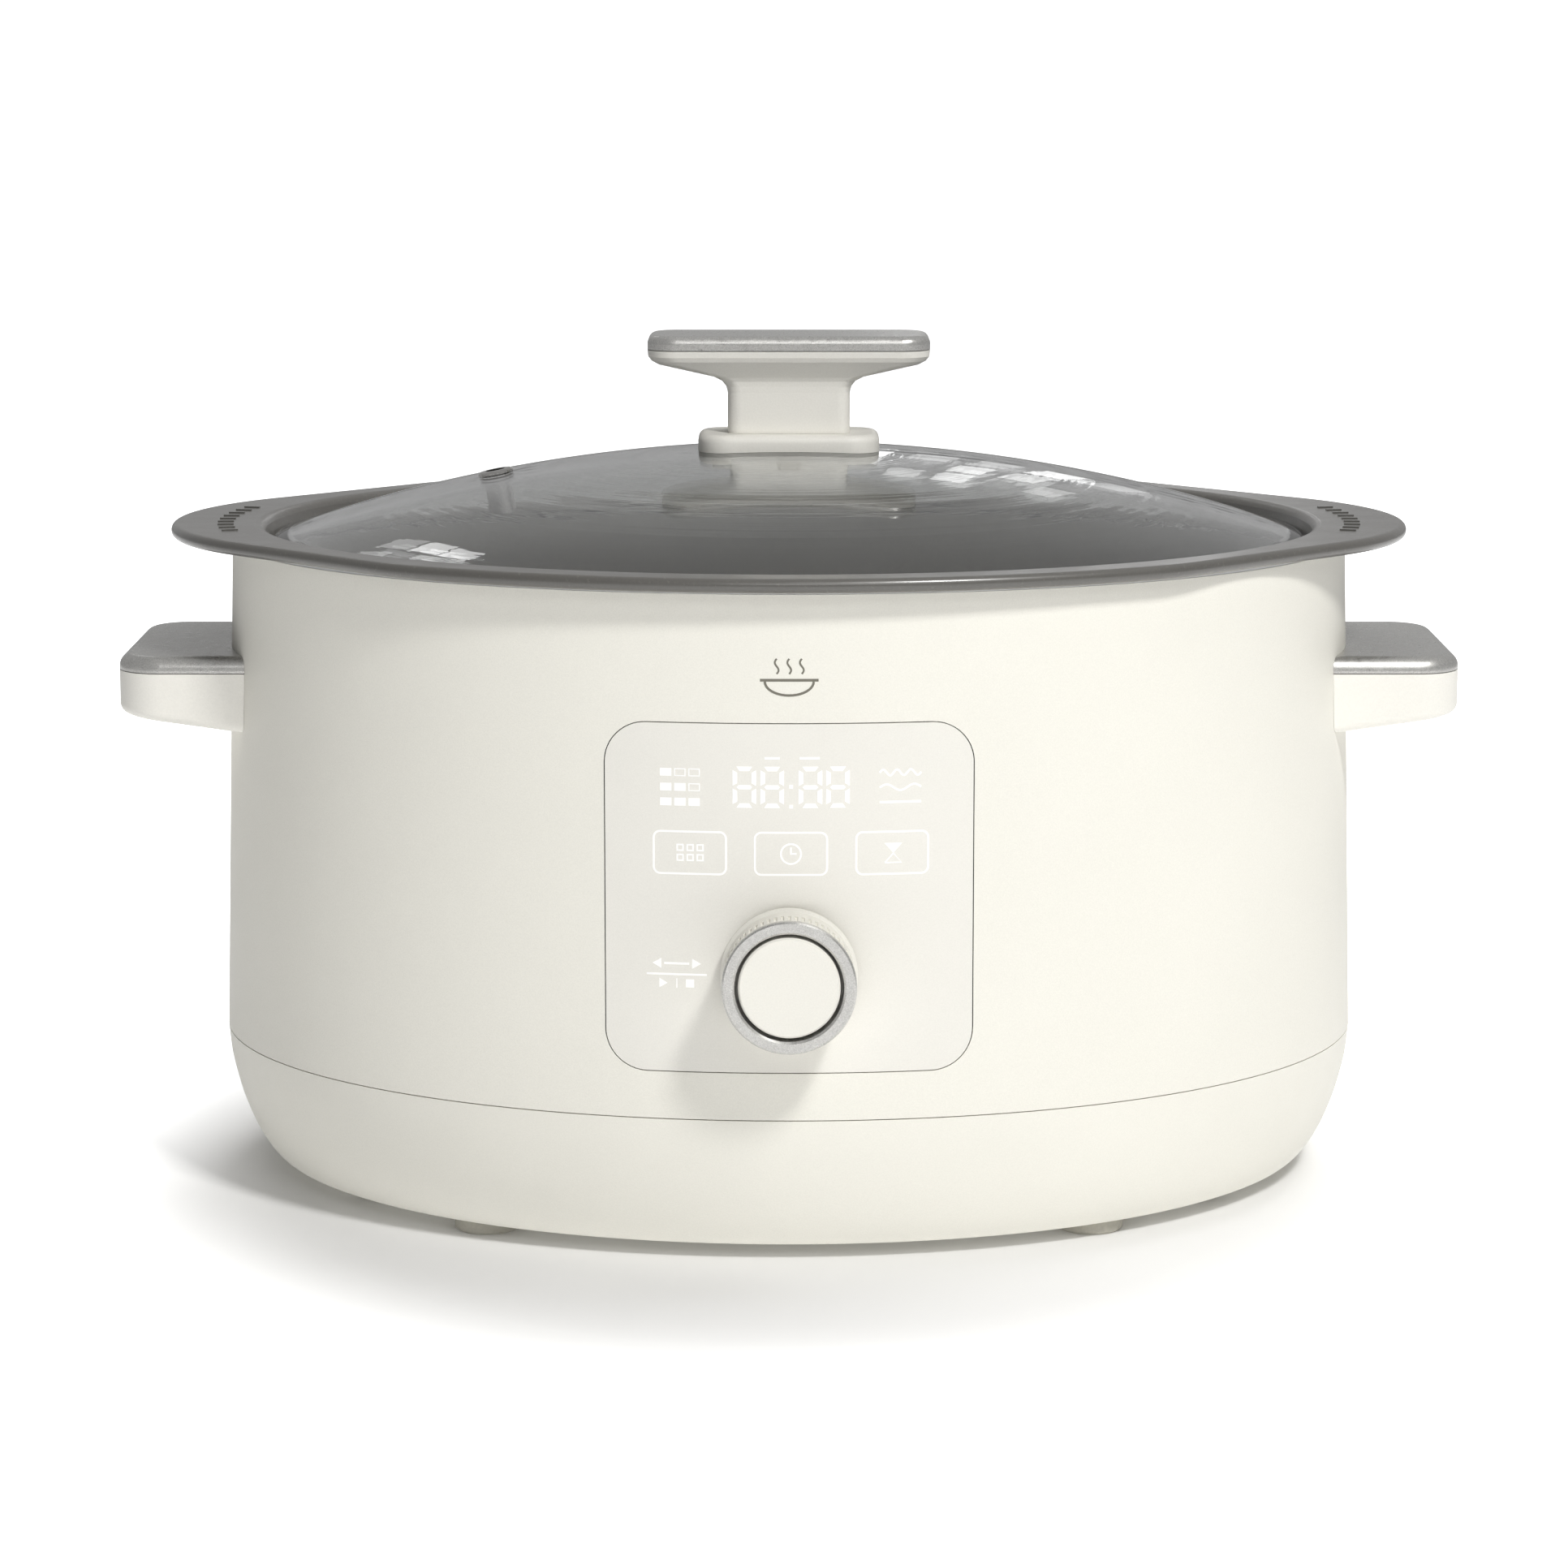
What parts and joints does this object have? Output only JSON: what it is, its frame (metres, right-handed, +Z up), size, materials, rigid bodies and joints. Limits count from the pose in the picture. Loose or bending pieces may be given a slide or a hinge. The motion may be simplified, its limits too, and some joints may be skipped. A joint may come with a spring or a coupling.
{
  "type": "slow cooker",
  "caption": "Oval countertop slow cooker with a pale painted body, side handles, a grey lift-out crock with wide end wings, a domed glass lid and a panel with a push-and-turn dial.",
  "frame": {"origin": "centre of the whole footprint, on the plane the four feet stand on", "axes": "+X to the cooker's right as seen from the front, +Y to the back, +Z up; the control panel faces -Y"},
  "size_m": [0.4152, 0.3092, 0.2624],
  "materials": {
    "casing_paint": "matte",
    "base_plastic": "matte",
    "panel_plastic": "satin",
    "dial_plastic": "satin",
    "handle_plastic": "satin",
    "silver_paint": "satin metallic",
    "stoneware": "matte",
    "glass": "polished",
    "polished_steel": "polished",
    "zinc_steel": "satin",
    "spring_steel": "satin",
    "liner_metal": "satin",
    "mica_band": "satin",
    "foot_rubber": "matte",
    "dark_plastic": "matte",
    "circuit_board": "satin",
    "display_lens": "gloss",
    "brass": "satin",
    "yellow_plastic": "satin",
    "green_plastic": "satin"
  },
  "bodies": {
    "housing": {"outer_casing": "casing_paint", "base_housing": "base_plastic", "mounting_ring": "zinc_steel", "base_screws": "zinc_steel", "foot_front_left": "foot_rubber", "foot_front_right": "foot_rubber", "foot_back_left": "foot_rubber", "foot_back_right": "foot_rubber", "foot_screws": "zinc_steel", "cord_gland": "dark_plastic", "gland_nut": "dark_plastic", "control_panel": "panel_plastic", "panel_frame": "dark_plastic", "control_board": "circuit_board", "control_board_screws": "zinc_steel", "led_display": "display_lens", "buzzer": "dark_plastic", "touch_springs": "spring_steel", "encoder_body": "dark_plastic", "encoder_nut": "brass", "left_handle_body": "handle_plastic", "left_handle_cap": "silver_paint", "right_handle_body": "handle_plastic", "right_handle_cap": "silver_paint", "handle_screws": "zinc_steel", "liner": "liner_metal", "heater_band": "mica_band", "heat_shield": "liner_metal", "shield_spacers": "zinc_steel", "tie_rods": "zinc_steel", "tie_nuts": "zinc_steel", "temperature_sensor": "spring_steel", "thermal_fuse": "spring_steel", "fuse_clip": "zinc_steel", "power_board": "circuit_board", "power_board_screws": "zinc_steel", "relay": "dark_plastic", "filter_capacitor": "yellow_plastic", "terminal_block": "green_plastic", "transformer": "yellow_plastic", "bulk_capacitor": "dark_plastic"},
    "dial": {"dial_body": "dial_plastic", "dial_ring": "silver_paint", "encoder_shaft": "spring_steel", "button_spring": "spring_steel"},
    "button": {"dial_button": "dial_plastic"},
    "crock": {"crock": "stoneware"},
    "lid": {"glass_lid": "glass", "steam_vent": "polished_steel", "lid_handle_base": "handle_plastic", "lid_handle_body": "handle_plastic", "lid_handle_cap": "silver_paint", "lid_washer": "polished_steel", "lid_screw": "polished_steel"}
  },
  "joints": [
    {"name": "crock_lift", "type": "slide", "parent": "housing", "child": "crock", "axis": [0, 0, 1], "range_m": [0, 0.16]},
    {"name": "lid_lift", "type": "slide", "parent": "crock", "child": "lid", "axis": [0, 0, 1], "range_m": [0, 0.08]},
    {"name": "dial_turn", "type": "hinge", "parent": "housing", "child": "dial", "pos_m": [0, -0.13505, 0.0884], "axis": [0, -1, 0], "continuous": true},
    {"name": "button_press", "type": "slide", "parent": "dial", "child": "button", "axis": [0, 1, 0], "range_m": [0, 0.0012], "stiffness_N_per_m": 600}
  ]
}
